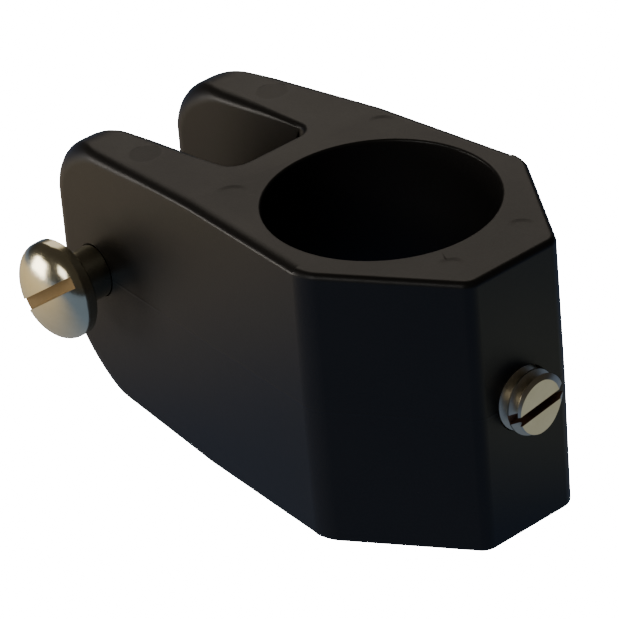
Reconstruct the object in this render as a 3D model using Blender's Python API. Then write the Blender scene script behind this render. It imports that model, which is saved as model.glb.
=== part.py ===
"""Jaw slide for a canopy frame: a moulded nylon body with a tube bore and two jaws, and its two screws.

Metres, +Z up along the tube bore. The origin is on the bore axis at the body's lower end face,
the jaws point to -X and the nose with the set screw to +X.
"""

import math

import bmesh
import bpy
from mathutils import Matrix, Vector

mm = 0.001

# body
tube_diameter = 22.2 * mm  # the 7/8 inch canopy tube
bore_clearance = 0.2 * mm  # radial
body_height = 29.2 * mm
side_wall = 3.2 * mm  # bore to the widest corner, across
nose_wall = 6.55 * mm  # bore to the nose face
back_wall = 4.06 * mm  # bore to the root of the jaw gap
corner_x = 4.6 * mm  # where the sides turn into the slanting facets
nose_half_width = 5.55 * mm
jaw_reach = 37.6 * mm  # bore axis to the jaw ends
jaw_gap = 10.0 * mm
jaw_end_width = 20.7 * mm  # across both jaws at their ends
jaw_end_drop = 1.6 * mm  # each jaw loses this at its top and at its bottom
jaw_top_radius = 7.8 * mm
jaw_bottom_radius = 9.8 * mm
side_corner_radius = 4.0 * mm
nose_corner_radius = 1.7 * mm
jaw_end_radius = 2.5 * mm  # both upright edges of each jaw's end
root_radius = 1.8 * mm
mould_draft = 0.1 * mm  # the outline is this much smaller at both ends than at the parting line
top_rim_radius = 0.6 * mm
bottom_rim_radius = 0.4 * mm
bore_mouth = 0.3 * mm  # chamfer at both ends of the bore

# jaw screw
jaw_screw_from_end = 6.8 * mm  # its axis to the jaw ends
shank_diameter = 5.4 * mm
jaw_screw_length = 22.2 * mm  # under the head
jaw_thread_length = 9.0 * mm
jaw_thread_pitch = 25.4 * mm / 24
jaw_head_diameter = 10.2 * mm
jaw_head_height = 3.5 * mm
jaw_head_rim = 1.4 * mm
jaw_slot_width = 1.2 * mm
jaw_slot_depth = 1.6 * mm
jaw_slot_angle = math.radians(35)  # up from the +X direction
jaw_backed_out = 3.5 * mm  # how far the head stands off its seat

# set screw
set_diameter = 6.35 * mm
set_length = 7.9 * mm
set_thread_pitch = 25.4 * mm / 20
set_proud = 2.4 * mm  # beyond the nose face
set_slot_width = 1.0 * mm
set_slot_depth = 1.3 * mm
set_slot_angle = math.radians(8)  # up from the +Y direction
set_edge = 0.25 * mm  # chamfer at its slotted end

# threads
thread_depth_share = 0.6  # of the pitch
screw_point = 0.7 * mm  # chamfer at a screw's tip

# inserts held in the nylon
insert_wall = 1.2 * mm
insert_groove = 0.4 * mm
insert_cover = 0.5 * mm  # nylon over each end of an insert
thread_clearance = 0.1 * mm  # radial, screw thread to insert bore
shank_clearance = 0.25 * mm  # radial, screw to the holes in the nylon
mould_gap = 0.15 * mm  # between an insert and the nylon round it

bore_radius = tube_diameter / 2 + bore_clearance
nose_x = bore_radius + nose_wall
corner_y = bore_radius + side_wall
root_x = -(bore_radius + back_wall)
jaw_axis_x = jaw_screw_from_end - jaw_reach
mid_z = body_height / 2
past = 2 * mm  # how far a cutter runs on beyond the surface it cuts


def side_y(x):
    """Half the width across the straight sides at x."""
    share = (corner_x - x) / (corner_x + jaw_reach)
    return corner_y + (jaw_end_width / 2 - corner_y) * share


jaw_bore_radius = shank_diameter / 2 + thread_clearance
set_bore_radius = set_diameter / 2 + thread_clearance
jaw_insert_y = jaw_gap / 2 + insert_cover
jaw_insert_length = side_y(jaw_axis_x - jaw_bore_radius - insert_wall) - insert_cover - jaw_insert_y
set_insert_x = bore_radius + insert_cover
set_insert_length = nose_wall - 2 * insert_cover


def clear_scene():
    for obj in list(bpy.data.objects):
        bpy.data.objects.remove(obj, do_unlink=True)


def new_object(name, bm, sharp_degrees=35):
    bmesh.ops.recalc_face_normals(bm, faces=bm.faces)
    mesh = bpy.data.meshes.new(name)
    bm.to_mesh(mesh)
    bm.free()
    mesh.shade_smooth()
    mesh.set_sharp_from_angle(angle=math.radians(sharp_degrees))
    obj = bpy.data.objects.new(name, mesh)
    bpy.context.scene.collection.objects.link(obj)
    return obj


def give_material(obj, colour, roughness, metallic):
    material = bpy.data.materials.new(obj.name)
    material.use_nodes = True
    shader = material.node_tree.nodes["Principled BSDF"]
    shader.inputs["Base Color"].default_value = (*colour, 1)
    shader.inputs["Roughness"].default_value = roughness
    shader.inputs["Metallic"].default_value = metallic
    obj.data.materials.append(material)


def as_cutter(obj):
    obj.hide_render = True
    obj.display_type = "WIRE"
    return obj


def combine(obj, tool, operation="DIFFERENCE"):
    step = obj.modifiers.new(tool.name, "BOOLEAN")
    step.operation = operation
    step.solver = "EXACT"
    step.object = tool


def moved_corners(corners, inset):
    """The (x, y, radius) corners of a counter-clockwise outline with every side moved in by inset."""
    moved = []
    for i, (x, y, radius) in enumerate(corners):
        here = Vector((x, y))
        a = (here - Vector(corners[i - 1][:2])).normalized()
        b = (Vector(corners[(i + 1) % len(corners)][:2]) - here).normalized()
        inward = Vector((-a.y - b.y, a.x + b.x)) / (1 + a.dot(b))
        moved.append((here + inward * inset, radius))
    return moved


def rounded_outline(corners, inset=0.0, steps=6):
    """The points of a counter-clockwise outline whose corners are rounded to their radii."""
    moved = moved_corners(corners, inset)
    points = []
    for i, (here, radius) in enumerate(moved):
        a = (here - moved[i - 1][0]).normalized()
        b = (moved[(i + 1) % len(moved)][0] - here).normalized()
        turn = math.atan2(a.cross(b), a.dot(b))
        if radius == 0:
            points.append(here)
            continue
        side = math.copysign(1, turn)
        start = here - a * radius * abs(math.tan(turn / 2))
        centre = start + Vector((-a.y, a.x)) * radius * side
        for k in range(steps + 1):
            points.append(centre + Matrix.Rotation(turn * k / steps, 2) @ (start - centre))
    return points


def stack_rings(name, rings):
    """A solid through rings of equal length, each a list of 3-D points, closed at both ends."""
    bm = bmesh.new()
    loops = [[bm.verts.new(point) for point in ring] for ring in rings]
    count = len(loops[0])
    for low, high in zip(loops, loops[1:]):
        for i in range(count):
            j = (i + 1) % count
            bm.faces.new((low[i], low[j], high[j], high[i]))
    bm.faces.new(loops[0])
    bm.faces.new(loops[-1])
    return new_object(name, bm)


along = {
    "X": Matrix.Rotation(math.pi / 2, 4, "Y"),
    "-X": Matrix.Rotation(-math.pi / 2, 4, "Y"),
    "Y": Matrix.Rotation(-math.pi / 2, 4, "X"),
    "Z": Matrix(),
}


def lathe(name, profile, axis="Z", closed=False, steps=36):
    """A solid of revolution from (radius, height) points, its height turned to run along the axis."""
    bm = bmesh.new()
    verts = [bm.verts.new((radius, 0, height)) for radius, height in profile]
    edges = [bm.edges.new(pair) for pair in zip(verts, verts[1:] + verts[:1] if closed else verts[1:])]
    bmesh.ops.spin(
        bm, geom=verts + edges, cent=(0, 0, 0), axis=(0, 0, 1), angle=math.tau, steps=steps, use_merge=True
    )
    bmesh.ops.remove_doubles(bm, verts=bm.verts, dist=0.001 * mm)
    bmesh.ops.transform(bm, matrix=along[axis], verts=bm.verts)
    return new_object(name, bm)


def at(obj, x, y, z):
    obj.location = (x, y, z)
    return obj


def body_outline(inset):
    """The outline from above, at the parting line when inset is 0."""
    half_end = jaw_end_width / 2
    corners = [
        (-jaw_reach, -half_end, jaw_end_radius),
        (corner_x, -corner_y, side_corner_radius),
        (nose_x, -nose_half_width, nose_corner_radius),
        (nose_x, nose_half_width, nose_corner_radius),
        (corner_x, corner_y, side_corner_radius),
        (-jaw_reach, half_end, jaw_end_radius),
    ]
    return rounded_outline(corners, inset)


def rim_levels(rim_radius, steps=3):
    """(inset, height above the parting line) from the parting line to one end, round its rim."""
    levels = []
    for k in range(steps + 1):
        angle = math.pi / 2 * k / steps
        height = mid_z - rim_radius * (1 - math.sin(angle))
        levels.append((mould_draft * height / mid_z + rim_radius * (1 - math.cos(angle)), height))
    return levels


def moulded_block():
    """The outside with its jaws still joined: drafted both ways from the parting line, rims rounded."""
    levels = [(inset, mid_z - height) for inset, height in reversed(rim_levels(bottom_rim_radius))]
    levels.append((0, mid_z))
    levels += [(inset, mid_z + height) for inset, height in rim_levels(top_rim_radius)]
    return stack_rings("body", [[(p.x, p.y, z) for p in body_outline(inset)] for inset, z in levels])


def jaw_side_cutter():
    """All that lies outside the jaws in side view, where they slope to their round ends."""
    corners = [
        (root_x, body_height, 0),
        (-jaw_reach, body_height - jaw_end_drop, jaw_top_radius),
        (-jaw_reach, jaw_end_drop, jaw_bottom_radius),
        (root_x, 0, 0),
        (corner_x, 0, 0),
        (corner_x, body_height, 0),
    ]
    ring = [(p.x, p.y) for p in rounded_outline(corners, steps=10)[:-2]]
    ring += [(root_x, -past), (-jaw_reach - past, -past)]
    ring += [(-jaw_reach - past, body_height + past), (root_x, body_height + past)]
    wide = corner_y + past
    return as_cutter(stack_rings("jaw_side_cut", [[(x, y, z) for x, z in ring] for y in (-wide, wide)]))


def jaw_gap_cutter():
    """The gap between the jaws, flaring round their inner edges just beyond the ends."""
    half, wide = jaw_gap / 2, corner_y + past
    end, far = -jaw_reach - 0.02 * mm, -jaw_reach - past
    corners = [
        (end, -wide, 0),
        (end, -half, jaw_end_radius),
        (root_x, -half, root_radius),
        (root_x, half, root_radius),
        (end, half, jaw_end_radius),
        (end, wide, 0),
        (far, wide, 0),
        (far, -wide, 0),
    ]
    outline = rounded_outline(corners)
    rings = [[(p.x, p.y, z) for p in outline] for z in (-past, body_height + past)]
    return as_cutter(stack_rings("jaw_gap_cut", rings))


def bore_cutter():
    profile = [
        (0, -past),
        (bore_radius + bore_mouth + past, -past),
        (bore_radius, bore_mouth),
        (bore_radius, body_height - bore_mouth),
        (bore_radius + bore_mouth + past, body_height + past),
        (0, body_height + past),
    ]
    return as_cutter(lathe("bore_cut", profile, steps=72))


def insert_outside(bore, length, grow=0.0):
    """An insert's outside as (radius, height) points: three bands and two holding grooves between them."""
    outer = bore + insert_wall + grow
    waist = outer - insert_groove
    band = length / 5
    points = [(outer, -grow)]
    for groove in (1, 3):
        points += [(outer, groove * band + grow), (waist, groove * band + grow)]
        points += [(waist, (groove + 1) * band - grow), (outer, (groove + 1) * band - grow)]
    return [*points, (outer, length + grow)]


def screw_way_cutter(name, axis, hole_radius, bore, before, length, after):
    """A screw's hole through the nylon with the insert's seat in it, which starts at height 0."""
    profile = [(0, -before), (hole_radius, -before), (hole_radius, -mould_gap)]
    profile += insert_outside(bore, length, mould_gap)
    profile += [(hole_radius, length + mould_gap), (hole_radius, length + after), (0, length + after)]
    return as_cutter(lathe(name, profile, axis))


def make_insert(name, bore, length, axis):
    insert = lathe(name, [(bore, 0), *insert_outside(bore, length), (bore, length)], axis, closed=True)
    give_material(insert, (0.62, 0.46, 0.2), 0.35, 1.0)
    return insert


def jaw_screw_way():
    radius = shank_diameter / 2 + shank_clearance
    before = jaw_insert_y + corner_y + past
    way = screw_way_cutter("jaw_way_cut", "Y", radius, jaw_bore_radius, before, jaw_insert_length, before)
    return at(way, jaw_axis_x, jaw_insert_y, mid_z)


def set_screw_way():
    radius = set_diameter / 2 + shank_clearance
    way = screw_way_cutter(
        "set_way_cut", "X", radius, set_bore_radius, bore_radius / 2, set_insert_length, insert_cover + past
    )
    return at(way, set_insert_x, 0, mid_z)


def make_body():
    body = moulded_block()
    for cutter in (jaw_side_cutter(), jaw_gap_cutter(), bore_cutter(), jaw_screw_way(), set_screw_way()):
        combine(body, cutter)
    give_material(body, (0.022, 0.02, 0.018), 0.45, 0.0)


def thread_ring(radius, pitch, height, depth, sides):
    """(radius, angle) round a right-hand thread where a plane at this height crosses it."""
    ring = []
    for k in range(sides):
        phase = (height / pitch - k / sides) % 1
        groove = 1 - abs(2 * phase - 1)
        ring.append((radius - depth * groove, math.tau * k / sides))
    return ring


def turned_screw(name, plain, thread, axis, sides=30, levels_a_turn=8):
    """A screw along +Z from its (radius, height) points, then threaded; thread is its sizes and its point."""
    radius, pitch, start, end, point = thread
    rings = [([(r, math.tau * k / sides) for k in range(sides)], height) for r, height in plain]
    levels = math.ceil((end - start) / pitch * levels_a_turn)
    full_depth = thread_depth_share * pitch
    for level in range(levels + 1):
        height = start + (end - start) * level / levels
        depth = full_depth * min(1, 2 * level / levels_a_turn)
        limit = radius - max(0, height - end + point)
        rings.append(([(min(r, limit), a) for r, a in thread_ring(radius, pitch, height, depth, sides)], height))
    placed = [
        [along[axis] @ Vector((r * math.cos(a), r * math.sin(a), height)) for r, a in ring]
        for ring, height in rings
    ]
    return stack_rings(name, placed)


def slot_cutter(name, head_diameter, width, depth, height, angle, axis):
    """A screwdriver slot across the end of a screw at this height, turned by angle about its axis."""
    bm = bmesh.new()
    bmesh.ops.create_cube(bm, size=1.0)
    bmesh.ops.scale(bm, vec=(head_diameter + past, width, 2 * depth), verts=bm.verts)
    bmesh.ops.translate(bm, vec=(0, 0, height), verts=bm.verts)
    bmesh.ops.transform(bm, matrix=along[axis] @ Matrix.Rotation(angle, 4, "Z"), verts=bm.verts)
    return as_cutter(new_object(name, bm))


def make_jaw_screw():
    """Round slotted head, plain shank and a threaded end, pointing along +Y from the head's underside."""
    radius = shank_diameter / 2
    head = jaw_head_diameter / 2
    rise = jaw_head_height - jaw_head_rim
    plain = []
    for k in range(1, 9):
        angle = math.pi / 2 * k / 8
        plain.append((head * math.sin(angle), -jaw_head_rim - rise * math.cos(angle)))
    plain += [(head, 0), (radius, 0)]
    thread_start = jaw_screw_length - jaw_thread_length
    thread = (radius, jaw_thread_pitch, thread_start, jaw_screw_length, screw_point)
    screw = turned_screw("jaw_screw", plain, thread, "Y")
    slot = slot_cutter(
        "jaw_slot_cut", jaw_head_diameter, jaw_slot_width, jaw_slot_depth, -jaw_head_height, -jaw_slot_angle, "Y"
    )
    seat_y = -side_y(jaw_axis_x + head)
    for piece in (screw, slot):
        at(piece, jaw_axis_x, seat_y - jaw_backed_out, mid_z)
    combine(screw, slot)
    give_material(screw, (0.62, 0.58, 0.5), 0.22, 1.0)


def make_set_screw():
    """Headless, slotted and threaded all along, pointing along -X from its slotted end."""
    radius = set_diameter / 2
    plain = [(radius - set_edge, -set_length), (radius, set_edge - set_length)]
    thread = (radius, set_thread_pitch, 2 * set_edge - set_length, 0, screw_point)
    screw = turned_screw("set_screw", plain, thread, "-X")
    slot = slot_cutter(
        "set_slot_cut", set_diameter, set_slot_width, set_slot_depth, -set_length, math.pi / 2 - set_slot_angle, "-X"
    )
    for piece in (screw, slot):
        at(piece, nose_x + set_proud - set_length, 0, mid_z)
    combine(screw, slot)
    give_material(screw, (0.56, 0.57, 0.52), 0.35, 1.0)


def make_inserts():
    jaw_insert = make_insert("jaw_screw_insert", jaw_bore_radius, jaw_insert_length, "Y")
    at(jaw_insert, jaw_axis_x, jaw_insert_y, mid_z)
    set_insert = make_insert("set_screw_insert", set_bore_radius, set_insert_length, "X")
    at(set_insert, set_insert_x, 0, mid_z)


clear_scene()
make_body()
make_inserts()
make_jaw_screw()
make_set_screw()
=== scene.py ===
import math

import bmesh
import bpy
from mathutils import Matrix, Vector


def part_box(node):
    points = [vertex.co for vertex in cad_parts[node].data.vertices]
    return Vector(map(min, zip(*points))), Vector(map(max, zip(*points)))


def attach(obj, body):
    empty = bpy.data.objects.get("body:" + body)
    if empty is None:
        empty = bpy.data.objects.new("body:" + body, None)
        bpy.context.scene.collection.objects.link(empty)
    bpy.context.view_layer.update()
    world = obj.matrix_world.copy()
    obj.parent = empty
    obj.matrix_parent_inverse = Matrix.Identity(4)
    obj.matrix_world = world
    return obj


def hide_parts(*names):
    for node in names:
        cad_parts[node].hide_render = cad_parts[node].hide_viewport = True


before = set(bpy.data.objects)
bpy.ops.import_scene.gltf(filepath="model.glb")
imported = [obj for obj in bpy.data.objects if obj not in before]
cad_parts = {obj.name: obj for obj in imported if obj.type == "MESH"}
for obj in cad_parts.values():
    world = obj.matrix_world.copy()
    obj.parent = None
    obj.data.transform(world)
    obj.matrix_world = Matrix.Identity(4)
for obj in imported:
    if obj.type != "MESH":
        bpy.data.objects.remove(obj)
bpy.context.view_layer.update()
mm = 0.001
weld = 0.001 * mm
print("frame loaded")


def meshObject(name, bm):
    mesh = bpy.data.meshes.new(name)
    bm.to_mesh(mesh)
    bm.free()
    obj = bpy.data.objects.new(name, mesh)
    bpy.context.scene.collection.objects.link(obj)
    return obj


def closeUp(bm):
    bmesh.ops.remove_doubles(bm, verts=bm.verts, dist=weld)
    bmesh.ops.recalc_face_normals(bm, faces=bm.faces)


def bake(obj):
    # keeps what the modifiers make and drops the modifiers
    graph = bpy.context.evaluated_depsgraph_get()
    made = bpy.data.meshes.new_from_object(obj.evaluated_get(graph))
    old = obj.data
    obj.modifiers.clear()
    obj.data = made
    bpy.data.meshes.remove(old)


def combine(obj, tools, operation="DIFFERENCE"):
    for tool in tools:
        step = obj.modifiers.new(tool.name, "BOOLEAN")
        step.operation = operation
        step.solver = "EXACT"
        step.object = tool
    bake(obj)
    for tool in tools:
        bpy.data.objects.remove(tool, do_unlink=True)


def shadeSmooth(obj, degrees):
    obj.data.shade_smooth()
    obj.data.set_sharp_from_angle(angle=math.radians(degrees))


def rod(name, radius, start, end, segments, endRadius=None):
    # a round bar or cone from start to end
    start, end = Vector(start), Vector(end)
    bm = bmesh.new()
    bmesh.ops.create_cone(
        bm, cap_ends=True, cap_tris=False, segments=segments, radius1=radius,
        radius2=radius if endRadius is None else endRadius, depth=(end - start).length,
    )
    turn = (end - start).to_track_quat("Z", "Y").to_matrix().to_4x4()
    bmesh.ops.transform(bm, matrix=Matrix.Translation((start + end) / 2) @ turn, verts=bm.verts)
    return meshObject(name, bm)


def turned(name, profile, segments):
    # a turned piece along +Z from (radius, height) points
    bm = bmesh.new()
    verts = [bm.verts.new((radius, 0, height)) for radius, height in profile]
    edges = [bm.edges.new(pair) for pair in zip(verts, verts[1:])]
    bmesh.ops.spin(
        bm, geom=verts + edges, cent=(0, 0, 0), axis=(0, 0, 1), angle=math.tau,
        steps=segments, use_merge=True,
    )
    closeUp(bm)
    return meshObject(name, bm)


groove = {
    "depth": 0.6,  # this and the next two are shares of the pitch
    "crest": 0.13,
    "halfRoot": 0.09,
    "beyond": 0.04 * mm,
    "steps": 56,
    "turn": 0.031,  # keeps its corners off the bar's own
}


def threadGroove(radius, pitch, start, turns):
    # the winding groove between a right-hand thread's crests, ready to cut from a bar along +Z
    depth = groove["depth"] * pitch
    halfRoot = groove["halfRoot"] * pitch
    halfMouth = (1 - groove["crest"]) * pitch / 2
    beyond = groove["beyond"]
    halfOuter = halfMouth + (halfMouth - halfRoot) * beyond / depth
    bm = bmesh.new()
    section = [(-depth, -halfRoot), (-depth, halfRoot), (beyond, halfOuter), (beyond, -halfOuter)]
    verts = [bm.verts.new((radius + r, 0, start + h)) for r, h in section]
    face = bm.faces.new(verts)
    bmesh.ops.spin(
        bm, geom=[*verts, *face.edges, face], cent=(0, 0, 0), axis=(0, 0, 1),
        angle=math.tau * turns, steps=groove["steps"] * turns, dvec=(0, 0, pitch / groove["steps"]),
    )
    offset = Matrix.Rotation(groove["turn"], 3, "Z")
    bmesh.ops.rotate(bm, cent=(0, 0, 0), matrix=offset, verts=bm.verts)
    closeUp(bm)
    return meshObject("groove", bm)


def slotBar(length, width, depth, height, angle):
    # what a slot takes away across the end of a bar along Z that ends at this height
    bm = bmesh.new()
    bmesh.ops.create_cube(bm, size=1)
    bmesh.ops.scale(bm, vec=(length, width, 2 * depth), verts=bm.verts)
    bmesh.ops.translate(bm, vec=(0, 0, height), verts=bm.verts)
    bmesh.ops.rotate(bm, cent=(0, 0, 0), matrix=Matrix.Rotation(angle, 3, "Z"), verts=bm.verts)
    return meshObject("slot", bm)


def layDown(obj, turn, place):
    obj.data.transform(Matrix.Translation(place) @ turn)


def softenEdges(obj, widths, segments, flat):
    # widths takes an edge and gives its rounding in metres, 0 to leave it
    # faces that meet at less than flat degrees are merged first
    bm = bmesh.new()
    bm.from_mesh(obj.data)
    closeUp(bm)
    bmesh.ops.dissolve_limit(
        bm, angle_limit=math.radians(flat), verts=bm.verts, edges=bm.edges, delimit={"NORMAL"},
    )
    wide = {edge.index: widths(edge) for edge in bm.edges}
    most = max(wide.values())
    layer = bm.edges.layers.float.new("bevel_weight_edge")
    for edge in bm.edges:
        edge[layer] = wide[edge.index] / most
    bm.to_mesh(obj.data)
    bm.free()
    step = obj.modifiers.new("softEdges", "BEVEL")
    step.limit_method = "WEIGHT"
    step.width = most
    step.segments = segments
    step.profile = 0.5
    step.use_clamp_overlap = False
    step.miter_outer = "MITER_ARC"
    step.harden_normals = False
    bake(obj)


class Wire:
    # a socket that takes part in Python arithmetic
    def __init__(self, nodes, socket):
        self.nodes = nodes
        self.socket = socket

    def math(self, operation, *values, clamp=False):
        settings = {"operation": operation, "use_clamp": clamp}
        return self.nodes.add("ShaderNodeMath", settings, *values)

    def __add__(self, other):
        return self.math("ADD", self, other)

    __radd__ = __add__

    def __mul__(self, other):
        return self.math("MULTIPLY", self, other)

    __rmul__ = __mul__

    def __sub__(self, other):
        return self.math("SUBTRACT", self, other)

    def __rsub__(self, other):
        return self.math("SUBTRACT", other, self)

    def __truediv__(self, other):
        return self.math("DIVIDE", self, other)

    def __pow__(self, other):
        return self.math("POWER", self, other)

    def absolute(self):
        return self.math("ABSOLUTE", self)

    def root(self):
        return self.math("SQRT", self)

    def limited(self):
        return self.math("ADD", self, 0.0, clamp=True)


class Nodes:
    def __init__(self, name):
        self.material = bpy.data.materials.new(name)
        self.material.use_nodes = True
        self.tree = self.material.node_tree
        self.shader = self.tree.nodes["Principled BSDF"]

    def put(self, socket, value):
        if isinstance(value, Wire):
            self.tree.links.new(value.socket, socket)
        else:
            socket.default_value = value

    def add(self, kind, settings=None, *values, output=0, **named):
        node = self.tree.nodes.new(kind)
        for key, value in (settings or {}).items():
            setattr(node, key, value)
        for index, value in enumerate(values):
            self.put(node.inputs[index], value)
        for key, value in named.items():
            self.put(node.inputs[key.replace("_", " ")], value)
        return Wire(self, node.outputs[output])

    def place(self):
        return self.add("ShaderNodeTexCoord", output="Object")

    def parts(self, vector):
        node = self.tree.nodes.new("ShaderNodeSeparateXYZ")
        self.put(node.inputs[0], vector)
        return [Wire(self, out) for out in node.outputs]

    def noise(self, vector, scale, detail=2.0, roughness=0.5):
        return self.add(
            "ShaderNodeTexNoise", Vector=vector, Scale=scale, Detail=detail, Roughness=roughness,
        )

    def blend(self, share, low, high):
        node = self.tree.nodes.new("ShaderNodeMix")
        node.data_type = "RGBA"
        self.put(node.inputs[0], share)
        self.put(node.inputs[6], low)
        self.put(node.inputs[7], high)
        return Wire(self, node.outputs[2])

    def near(self, away, far, close):
        # 1 inside the close distance, falling softly to 0 at the far one
        return self.add(
            "ShaderNodeMapRange", {"interpolation_type": "SMOOTHSTEP"}, away, far, close, 0.0, 1.0,
        )

    def bump(self, height, distance, strength, normal=None):
        extra = {} if normal is None else {"Normal": normal}
        return self.add(
            "ShaderNodeBump", Height=height, Distance=distance, Strength=strength, **extra,
        )

    def finish(self, **sockets):
        for key, value in sockets.items():
            self.put(self.shader.inputs[key.replace("_", " ")], value)
        return self.material


nylonLook = {
    "dark": (0.0105, 0.0094, 0.0088, 1),
    "light": (0.0175, 0.0155, 0.0138, 1),
    "roughness": 0.40,
    "cloudScale": 95,
    "grainScale": 5200,
    "grainHeight": 0.010 * mm,
    "rippleScale": 620,
    "rippleHeight": 0.012 * mm,
    "partingHeight": 0.014 * mm,
    "partingWidth": 0.2 * mm,
}


def mouldedNylon(midZ):
    look = nylonLook
    nodes = Nodes("mouldedNylon")
    place = nodes.place()
    z = nodes.parts(place)[2]
    cloud = nodes.noise(place, look["cloudScale"], 3.0, 0.55)
    grain = nodes.noise(place, look["grainScale"], 3.0, 0.6)
    ripple = nodes.noise(place, look["rippleScale"])
    away = ((z - midZ) / look["partingWidth"]).absolute()
    ridge = (1 - away).limited()
    colour = nodes.blend(cloud * 0.7 + grain * 0.3, look["dark"], look["light"])
    rough = look["roughness"] + (cloud - 0.5) * 0.10 + (grain - 0.5) * 0.12
    fine = nodes.bump(grain, look["grainHeight"], 0.55)
    wavy = nodes.bump(ripple, look["rippleHeight"], 0.5, fine)
    raised = nodes.bump(ridge, look["partingHeight"], 1.0, wavy)
    return nodes.finish(
        Base_Color=colour, Roughness=rough, Normal=raised, Specular_IOR_Level=0.27, IOR=1.53,
    )


polishedLook = {
    "tint": (0.98, 0.93, 0.70, 1),
    "dark": (0.78, 0.71, 0.48, 1),
    # slot: painted shade, the darker colour given to the slot's walls and floor
    "slot": (0.33, 0.25, 0.14, 1),
    "roughness": 0.19,
    "marks": 0.006 * mm,
}
plainLook = {
    "tint": (0.88, 0.82, 0.66, 1),
    "dark": (0.50, 0.45, 0.35, 1),
    # slot: painted shade, the darker colour given to the slot's walls and floor
    "slot": (0.26, 0.15, 0.10, 1),
    "roughness": 0.36,
    "marks": 0.010 * mm,
}


steelWearAndSlotShade = {
    "stainScale": 340,
    "fleckScale": 2600,
    "latheScale": 9000,
    "slotShadeReach": 0.03 * mm,
    "slotSharpness": 40000,
}


def turnedSteel(name, axisPoint, axis, look, slot):
    # stainless steel with turning marks round an axis and a slot across its end that is rougher and
    # painted darker as shade in its recess
    wearAndSlotShade = steelWearAndSlotShade
    sharp = wearAndSlotShade["slotSharpness"]
    nodes = Nodes(name)
    place = nodes.place()
    sides = dict(zip("XYZ", nodes.parts(place)))
    middle = dict(zip("XYZ", axisPoint))
    across = [sides[k] - middle[k] for k in "XYZ" if k != axis]
    radius = (across[0] ** 2 + across[1] ** 2).root()
    stain = nodes.noise(place, wearAndSlotShade["stainScale"], 4.0, 0.6)
    fleck = nodes.noise(place, wearAndSlotShade["fleckScale"], 3.0, 0.6)
    unrolled = nodes.add("ShaderNodeCombineXYZ", None, radius, sides[axis], 0.0)
    marks = nodes.noise(unrolled, wearAndSlotShade["latheScale"], 2.0, 0.6)
    angle = slot["angle"]
    offSlot = (across[1] * math.cos(angle) - across[0] * math.sin(angle)).absolute()
    # painted shade: the slot mask reaches a little past the slot's edges so that they read dark
    within = ((slot["halfWidth"] + wearAndSlotShade["slotShadeReach"] - offSlot) * sharp).limited()
    inSlot = within * ((sides[axis] - slot["floor"]) * slot["outward"] * sharp).limited()
    metal = nodes.blend((stain * 0.75 + fleck * 0.25 - 0.2).limited(), look["dark"], look["tint"])
    # painted shade: the slot's walls and floor take the darker slot colour
    colour = nodes.blend(inSlot, metal, look["slot"])
    rough = look["roughness"] + (stain - 0.5) * 0.14 + (fleck - 0.5) * 0.12 + inSlot * 0.22
    normal = nodes.bump(marks, look["marks"], 0.6)
    return nodes.finish(Base_Color=colour, Roughness=rough, Metallic=1.0, Normal=normal)


brassLook = {
    "dark": (0.36, 0.24, 0.085, 1),
    "light": (0.66, 0.47, 0.18, 1),
    "roughness": 0.28,
    "tarnishScale": 420,
    "latheScale": 7000,
    "marks": 0.008 * mm,
}


def turnedBrass():
    look = brassLook
    nodes = Nodes("turnedBrass")
    place = nodes.place()
    tarnish = nodes.noise(place, look["tarnishScale"], 4.0, 0.6)
    lathe = nodes.noise(place, look["latheScale"])
    colour = nodes.blend((tarnish * 1.4 - 0.2).limited(), look["dark"], look["light"])
    rough = look["roughness"] + tarnish * 0.16
    normal = nodes.bump(lathe, look["marks"], 0.6)
    return nodes.finish(Base_Color=colour, Roughness=rough, Metallic=1.0, Normal=normal)


body = {
    "height": 29.2 * mm,
    "boreRadius": 11.3 * mm,
    "noseX": 17.85 * mm,
    "noseHalf": 5.55 * mm,
    "cornerX": 4.6 * mm,
    "cornerY": 14.5 * mm,
    "rootX": -15.36 * mm,
    "slopeX": -13.6 * mm,
    "endX": -37.6 * mm,
    "endHalf": 10.35 * mm,
    "endDrop": 1.6 * mm,
    "gapHalf": 5.0 * mm,
    "topRound": 7.2 * mm,
    "bottomRound": 9.2 * mm,
    "endRound": 2.2 * mm,
    "sideRound": 4.0 * mm,
    "noseRound": 1.7 * mm,
    "rootRound": 1.8 * mm,
    "draft": 0.1 * mm,
    "rimTop": 0.65 * mm,
    "rimBottom": 0.42 * mm,
    "jawRim": 0.55 * mm,
    "rimSegments": 6,
    "rimAngle": 24,
    "flatAngle": 0.2,
    "smoothAngle": 32,
    "endBlendFrom": 9 * mm,
    "endBlend": 6.5 * mm,
    "boreRim": 0.26 * mm,
    "holeRim": 0.10 * mm,
    "seatGive": 0.15 * mm,
    "markDepth": 0.13 * mm,
    "markSlope": 1.9,
    "markRise": 0.3 * mm,
    "marks": [
        (-25.2, -7.7, 1.6), (-25.2, 8.7, 1.6), (-11.4, -8.5, 1.6),
        (-10.8, 10.1, 1.35), (13.9, -4.3, 1.3), (13.7, 4.8, 1.3),
    ],
}
facets = {"side": 14, "jawEnd": 20, "gapRoot": 12, "bore": 144, "hole": 56, "mark": 48}
midZ = body["height"] / 2
jawX = -30.8 * mm
jawHole = 2.79 * mm
setHole = 3.26 * mm
onLine = 0.01 * mm


def roundEdges(bm, edges, radius, segments):
    a, b = (face.normal for face in edges[0].link_faces)
    bmesh.ops.bevel(
        bm, geom=edges, offset=radius * math.tan(a.angle(b) / 2), offset_type="OFFSET",
        affect="EDGES", segments=segments, profile=0.5, material=-1, clamp_overlap=False,
    )


def centre(edge):
    return (edge.verts[0].co + edge.verts[1].co) / 2


def edgesWhere(bm, test):
    bm.normal_update()
    return [e for e in bm.edges if len(e.link_faces) == 2 and test(centre(e), e)]


def runsAlong(edge, axis):
    line = edge.verts[1].co - edge.verts[0].co
    return abs(line[axis]) > 0.9 * line.length


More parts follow.
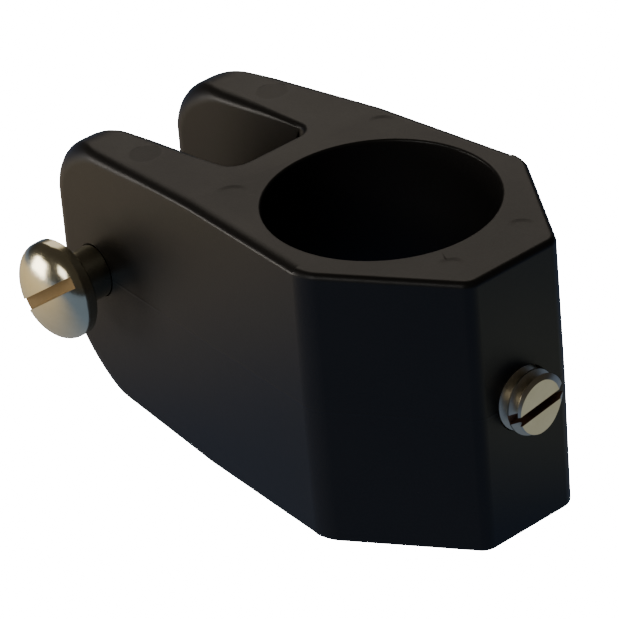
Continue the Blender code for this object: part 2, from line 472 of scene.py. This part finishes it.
def block(outline, low, high, side=False):
    # a block with this outline, seen from above or from the side
    bm = bmesh.new()
    verts = [bm.verts.new((a, low, b) if side else (a, b, low)) for a, b in outline]
    made = bmesh.ops.extrude_face_region(bm, geom=[bm.faces.new(verts)])
    lifted = [g for g in made["geom"] if isinstance(g, bmesh.types.BMVert)]
    rise = high - low
    bmesh.ops.translate(bm, vec=(0, rise, 0) if side else (0, 0, rise), verts=lifted)
    bmesh.ops.recalc_face_normals(bm, faces=bm.faces)
    return bm


def planBlock():
    b = body
    past = 2 * mm
    plan = [
        (b["endX"], -b["endHalf"]), (b["cornerX"], -b["cornerY"]), (b["noseX"], -b["noseHalf"]),
        (b["noseX"], b["noseHalf"]), (b["cornerX"], b["cornerY"]), (b["endX"], b["endHalf"]),
    ]
    bm = block(plan, -past, b["height"] + past)
    for radius, x in ((b["sideRound"], b["cornerX"]), (b["noseRound"], b["noseX"])):
        corners = edgesWhere(bm, lambda c, e: runsAlong(e, 2) and abs(c.x - x) < onLine)
        roundEdges(bm, corners, radius, facets["side"])
    # it narrows both ways from the parting line
    bmesh.ops.bisect_plane(
        bm, geom=[*bm.verts, *bm.edges, *bm.faces], plane_co=(0, 0, midZ), plane_no=(0, 0, 1),
        dist=1e-7,
    )
    bm.normal_update()
    inward = {}
    for vert in bm.verts:
        outward = sum((f.normal for f in vert.link_faces if abs(f.normal.z) < 0.5), Vector())
        inward[vert] = outward.normalized() * -b["draft"] * abs(vert.co.z - midZ) / midZ
    for vert, move in inward.items():
        vert.co += move
    return meshObject("slideBody", bm)


def sideBlock():
    b = body
    wide, front, end = b["cornerY"] + 5 * mm, b["noseX"] + 3 * mm, b["endX"] - onLine
    outline = [
        (end, b["endDrop"]), (b["slopeX"], 0), (front, 0),
        (front, b["height"]), (b["slopeX"], b["height"]), (end, b["height"] - b["endDrop"]),
    ]
    bm = block(outline, -wide, wide, side=True)
    for radius, low in ((b["topRound"], False), (b["bottomRound"], True)):
        ends = edgesWhere(
            bm, lambda c, e: runsAlong(e, 1) and abs(c.x - end) < onLine and (c.z < midZ) == low
        )
        roundEdges(bm, ends, radius, facets["jawEnd"])
    return meshObject("sideBlock", bm)


def gapBlock():
    b = body
    past, half, root = 3 * mm, b["gapHalf"], b["rootX"]
    outer = b["endX"] - past
    bm = block([(outer, -half), (root, -half), (root, half), (outer, half)], -past, b["height"] + past)
    corners = edgesWhere(bm, lambda c, e: runsAlong(e, 2) and c.x > root - 0.1 * mm)
    roundEdges(bm, corners, b["rootRound"], facets["gapRoot"])
    return meshObject("gapBlock", bm)


def ejectorMarks():
    # shallow round dents that the mould's pins leave in the upper faces
    b = body
    slope = math.atan2(b["endDrop"], b["slopeX"] - b["endX"])
    made = []
    for x, y, radius in b["marks"]:
        x, y, radius = x * mm, y * mm, radius * mm
        onJaw = x < b["slopeX"]
        top = b["height"] - ((b["slopeX"] - x) * math.tan(slope) if onJaw else 0)
        up = Vector((-math.sin(slope), 0, math.cos(slope))) if onJaw else Vector((0, 0, 1))
        middle = Vector((x, y, top))
        spread = b["markSlope"] * b["markDepth"] / 2
        made.append(rod(
            "mark", radius - spread, middle - up * b["markDepth"], middle + up * b["markRise"],
            facets["mark"], radius + spread + b["markSlope"] * b["markRise"],
        ))
    return made


def rimWidth(edge):
    # how wide each edge of the moulding is rounded, growing towards the jaws' ends
    b = body
    if len(edge.link_faces) != 2 or edge.calc_face_angle() < math.radians(b["rimAngle"]):
        return 0
    c = centre(edge)
    usual = b["rimTop"] if c.z > midZ else b["rimBottom"]
    if abs(c.y) < b["gapHalf"] + onLine and c.x < b["rootX"] + onLine:
        usual = b["jawRim"]
    share = min(1, max(0, (b["endX"] + b["endBlendFrom"] - c.x) / b["endBlend"]))
    share = share * share * (3 - 2 * share)
    return usual + (b["endRound"] - usual) * share


def mouth(radius, soft, level, outward):
    # (radius, height) points of a bar that leaves a rounded edge where it breaks through this level
    arc, steps, flare, clear = 80, 5, 0.6 * mm, level + outward * 3 * mm
    points = [(radius, level - outward * 2 * soft)]
    for step in range(steps + 1):
        angle = math.radians(arc) * step / steps
        inside = outward * soft * (1 - math.sin(angle))
        points.append((radius + soft * (1 - math.cos(angle)), level - inside))
    wide, high = points[-1]
    wide += flare
    points.append((wide, high + outward * flare * math.tan(math.radians(90 - arc))))
    return points + [(wide, clear), (0, clear)]


def screwWays():
    # the bore, the holes for both screws and the seats their inserts sit in
    give, fine, inside, through = body["seatGive"], facets["hole"], 6 * mm, 20 * mm
    jawSeat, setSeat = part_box("jaw_screw_insert"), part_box("set_screw_insert")
    jawRadius = (jawSeat[1].x - jawSeat[0].x) / 2 + give
    setRadius = (setSeat[1].y - setSeat[0].y) / 2 + give
    lower = mouth(body["boreRadius"], body["boreRim"], 0, -1)
    upper = mouth(body["boreRadius"], body["boreRim"], body["height"], 1)
    bore = turned("bore", lower[::-1] + upper, facets["bore"])
    setMouth = mouth(setHole, body["holeRim"], body["noseX"], 1)
    setWay = turned("setWay", [(0, inside), (setHole, inside), *setMouth], fine)
    layDown(setWay, Matrix.Rotation(math.radians(90), 4, "Y"), (0, 0, midZ))
    jawFrom, jawTo = jawSeat[0].y - give, jawSeat[1].y + give
    setFrom, setTo = setSeat[0].x - give, setSeat[1].x + give
    return [
        bore,
        setWay,
        rod("jawWay", jawHole, (jawX, -through, midZ), (jawX, through, midZ), fine),
        rod("jawSeat", jawRadius, (jawX, jawFrom, midZ), (jawX, jawTo, midZ), fine),
        rod("setSeat", setRadius, (setFrom, 0, midZ), (setTo, 0, midZ), fine),
    ]


def evenShading(obj, degrees):
    shadeSmooth(obj, degrees)
    step = obj.modifiers.new("evenNormals", "WEIGHTED_NORMAL")
    step.keep_sharp = True
    bake(obj)


def makeBody():
    moulding = planBlock()
    combine(moulding, [sideBlock()], "INTERSECT")
    combine(moulding, [gapBlock()])
    softenEdges(moulding, rimWidth, body["rimSegments"], body["flatAngle"])
    combine(moulding, [*screwWays(), *ejectorMarks()])
    evenShading(moulding, body["smoothAngle"])
    moulding.data.materials.append(mouldedNylon(midZ))
    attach(moulding, "slide_body")
    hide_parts("body")
    print("body made", len(moulding.data.polygons))


jawScrew = {
    "length": 22.2 * mm,
    "shankRadius": 2.7 * mm,
    "headRadius": 5.1 * mm,
    "headHeight": 3.5 * mm,
    "headRim": 1.0 * mm,
    "rimSoft": 0.22 * mm,
    "neck": 0.25 * mm,
    "domeSteps": 24,
    "segments": 128,
    "slotWidth": 1.2 * mm,
    "slotDepth": 1.6 * mm,
    "slotLength": 14 * mm,
    "slotAngle": 35,
    "threadLength": 9.0 * mm,
    "pitch": 25.4 / 24 * mm,
    "point": 0.7 * mm,
}


slotFloorGive = 0.05 * mm
screwSmooth = 28


def headProfile():
    s = jawScrew
    rise = s["headHeight"] - s["headRim"]
    points = []
    for step in range(s["domeSteps"] + 1):
        angle = math.radians(90) * step / s["domeSteps"]
        points.append((s["headRadius"] * math.sin(angle), -s["headRim"] - rise * math.cos(angle)))
    return points + [
        (s["headRadius"], -s["rimSoft"]), (s["headRadius"] - s["rimSoft"], 0),
        (s["shankRadius"] + s["neck"], 0), (s["shankRadius"], s["neck"]),
        (s["shankRadius"], s["length"] - s["point"]),
        (s["shankRadius"] - s["point"], s["length"]), (0, s["length"]),
    ]


def makeJawScrew():
    s = jawScrew
    low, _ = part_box("jaw_screw")
    angle = math.radians(s["slotAngle"])
    screw = turned("jawScrewSteel", headProfile(), s["segments"])
    start = s["length"] - s["threadLength"] + s["pitch"] / 2
    turns = math.ceil(s["threadLength"] / s["pitch"]) + 1
    combine(screw, [
        threadGroove(s["shankRadius"], s["pitch"], start, turns),
        slotBar(s["slotLength"], s["slotWidth"], s["slotDepth"], -s["headHeight"], -angle),
    ])
    underHead = low.y + s["headHeight"]
    layDown(screw, Matrix.Rotation(math.radians(-90), 4, "X"), (jawX, underHead, midZ))
    shadeSmooth(screw, screwSmooth)
    slot = {
        "angle": angle, "halfWidth": s["slotWidth"] / 2,
        "floor": low.y + s["slotDepth"] + slotFloorGive, "outward": -1,
    }
    steel = turnedSteel("polishedSteel", (jawX, 0, midZ), "Y", polishedLook, slot)
    screw.data.materials.append(steel)
    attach(screw, "jaw_screw_shaft")
    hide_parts("jaw_screw")
    print("jaw screw made", len(screw.data.polygons))


setScrew = {
    "length": 7.9 * mm,
    "radius": 3.175 * mm,
    "pitch": 25.4 / 20 * mm,
    "segments": 96,
    "slotWidth": 1.0 * mm,
    "slotDepth": 1.3 * mm,
    "slotLength": 12 * mm,
    "slotAngle": 8,
    "edge": 0.42 * mm,
    "point": 0.8 * mm,
}


def makeSetScrew():
    s = setScrew
    _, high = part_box("set_screw")
    r, length, across = s["radius"], s["length"], math.radians(90 + s["slotAngle"])
    profile = [
        (0, 0), (r - s["point"], 0), (r, s["point"]),
        (r, length - s["edge"]), (r - s["edge"], length), (0, length),
    ]
    screw = turned("setScrewSteel", profile, s["segments"])
    turns = math.ceil(length / s["pitch"]) + 2
    combine(screw, [
        threadGroove(r, s["pitch"], -s["pitch"], turns),
        slotBar(s["slotLength"], s["slotWidth"], s["slotDepth"], length, across),
    ])
    layDown(screw, Matrix.Rotation(math.radians(90), 4, "Y"), (high.x - length, 0, midZ))
    shadeSmooth(screw, screwSmooth)
    slot = {
        "angle": math.radians(s["slotAngle"]), "halfWidth": s["slotWidth"] / 2,
        "floor": high.x - s["slotDepth"] - slotFloorGive, "outward": 1,
    }
    screw.data.materials.append(turnedSteel("plainSteel", (0, 0, midZ), "X", plainLook, slot))
    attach(screw, "set_screw_shaft")
    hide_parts("set_screw")
    print("set screw made", len(screw.data.polygons))


def dressInserts():
    brass = turnedBrass()
    for name in ("jaw_screw_insert", "set_screw_insert"):
        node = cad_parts[name]
        node.data.materials.clear()
        node.data.materials.append(brass)
    print("inserts dressed")


studio = {
    "floorSize": 6.0,
    "floorGlow": 24.0,
    "floorDark": (0.92, 0.92, 0.92, 1),
    "floorLight": (0.94, 0.94, 0.94, 1),
    "floorScale": 3,
    "cardSize": 0.9,
    "cardZ": -1 * mm,
    "cardGlow": 1.0,
    "cardBase": (0.02, 0.02, 0.02, 1),
    "cardWarm": (0.72, 0.58, 0.38, 1),
    "cardCool": (0.13, 0.18, 0.29, 1),
    "cardRight": (0.48, 0.50, 0.42, 1),
    "warmX": -0.085,
    "warmY": -0.050,
    "warmStretch": 0.8,
    "warmFar": 0.075,
    "warmNear": 0.018,
    "rightX": 0.045,
    "rightY": 0.022,
    "rightFar": 0.034,
    "rightNear": 0.012,
    "low": (0.020, 0.028, 0.045, 1),
    "high": (0.045, 0.040, 0.034, 1),
    "lowUpTo": 0.40,
    "highFrom": 0.70,
}


def plane(name, size, z, material):
    bm = bmesh.new()
    bmesh.ops.create_grid(bm, x_segments=1, y_segments=1, size=size / 2)
    bmesh.ops.translate(bm, vec=(0, 0, z), verts=bm.verts)
    obj = meshObject(name, bm)
    obj.data.materials.append(material)
    return obj


def makeFloor():
    s = studio
    nodes = Nodes("paleFloor")
    tone = nodes.blend(nodes.noise(nodes.place(), s["floorScale"]), s["floorDark"], s["floorLight"])
    floor = plane("floor", s["floorSize"], 0, nodes.finish(
        Base_Color=tone, Roughness=0.9, Emission_Color=tone, Emission_Strength=s["floorGlow"],
    ))
    floor.visible_glossy = False
    floor.visible_diffuse = False


def makeCard():
    # a card on the table that the near side and the screws mirror: warm to the left, pale to the
    # right of the nose and cool elsewhere
    s = studio
    nodes = Nodes("reflectorCard")
    x, y = nodes.parts(nodes.place())[:2]
    away = ((x - s["warmX"]) ** 2 + ((y - s["warmY"]) * s["warmStretch"]) ** 2).root()
    warmth = nodes.near(away, s["warmFar"], s["warmNear"])
    beside = ((x - s["rightX"]) ** 2 + (y - s["rightY"]) ** 2).root()
    paleness = nodes.near(beside, s["rightFar"], s["rightNear"])
    cool = nodes.blend(paleness, s["cardCool"], s["cardRight"])
    tone = nodes.blend(warmth, cool, s["cardWarm"])
    card = plane("reflectorCard", s["cardSize"], s["cardZ"], nodes.finish(
        Base_Color=s["cardBase"], Roughness=0.9, Emission_Color=tone, Emission_Strength=s["cardGlow"],
    ))
    card.visible_camera = False


def makeWorld():
    # dim all round: cool below and warm above
    world = bpy.data.worlds.new("studio")
    bpy.context.scene.world = world
    world.use_nodes = True
    tree = world.node_tree
    back = tree.nodes["Background"]
    where = tree.nodes.new("ShaderNodeTexCoord")
    split = tree.nodes.new("ShaderNodeSeparateXYZ")
    ramp = tree.nodes.new("ShaderNodeValToRGB")
    stops = ((studio["lowUpTo"], studio["low"]), (studio["highFrom"], studio["high"]))
    for stop, (position, colour) in zip(ramp.color_ramp.elements, stops):
        stop.position, stop.color = position, colour
    half = tree.nodes.new("ShaderNodeMath")
    half.operation = "MULTIPLY_ADD"
    half.inputs[1].default_value = 0.5
    half.inputs[2].default_value = 0.5
    tree.links.new(where.outputs["Generated"], split.inputs[0])
    tree.links.new(split.outputs["Z"], half.inputs[0])
    tree.links.new(half.outputs[0], ramp.inputs[0])
    tree.links.new(ramp.outputs[0], back.inputs[0])
    back.inputs[1].default_value = 1.0


lamps = {
    "sideLamp": {
        "place": (-0.150, -0.135, 0.030), "aim": (-0.030, -0.012, 0.0146),
        "size": 0.075, "power": 0.15, "tint": (1.0, 0.93, 0.84),
    },
    "backSoftbox": {
        "place": (-0.62, 0.50, 0.50), "aim": (-0.01, 0, 0.029),
        "size": 0.55, "power": 1.05, "tint": (1.0, 0.90, 0.78),
    },
    "frontWindow": {
        "place": (0.05, -0.66, 0.40), "aim": (-0.01, 0, 0.015),
        "size": 0.28, "power": 1.1, "tint": (1.0, 0.97, 0.92),
    },
}


def makeLamps():
    for name, spec in lamps.items():
        lamp = bpy.data.lights.new(name, "AREA")
        lamp.shape = "SQUARE"
        lamp.size = spec["size"]
        lamp.energy = spec["power"]
        lamp.color = spec["tint"]
        obj = bpy.data.objects.new(name, lamp)
        obj.location = spec["place"]
        aim = Vector(spec["aim"]) - Vector(spec["place"])
        obj.rotation_euler = aim.to_track_quat("-Z", "Y").to_euler()
        bpy.context.scene.collection.objects.link(obj)


lens = {
    "azimuth": 50.4342,
    "elevation": 30.8227,
    "roll": -5.1442,
    "distance": 0.4102,
    "focal": 251.3,
    "sensor": 36,
    "nearest": 0.01,
    "farthest": 20,
    "across": -7.818 * mm,
    "up": 2.131 * mm,
}


def makeCamera():
    az, el, roll = (math.radians(lens[k]) for k in ("azimuth", "elevation", "roll"))
    back = Vector((math.sin(az) * math.cos(el), -math.cos(az) * math.cos(el), math.sin(el)))
    level = Vector((math.cos(az), math.sin(az), 0))
    rising = back.cross(level)
    right = level * math.cos(roll) + rising * math.sin(roll)
    up = rising * math.cos(roll) - level * math.sin(roll)
    camera = bpy.data.objects.new("camera", bpy.data.cameras.new("camera"))
    bpy.context.scene.collection.objects.link(camera)
    camera.data.lens = lens["focal"]
    camera.data.sensor_width = lens["sensor"]
    camera.data.clip_start, camera.data.clip_end = lens["nearest"], lens["farthest"]
    turn = Matrix((right, up, back)).transposed().to_4x4()
    place = Vector((0, 0, midZ)) + back * lens["distance"] + right * lens["across"] + up * lens["up"]
    camera.matrix_world = Matrix.Translation(place) @ turn
    bpy.context.scene.camera = camera


makeBody()
makeJawScrew()
makeSetScrew()
dressInserts()
makeFloor()
makeCard()
makeWorld()
makeLamps()
makeCamera()
print("stage set")
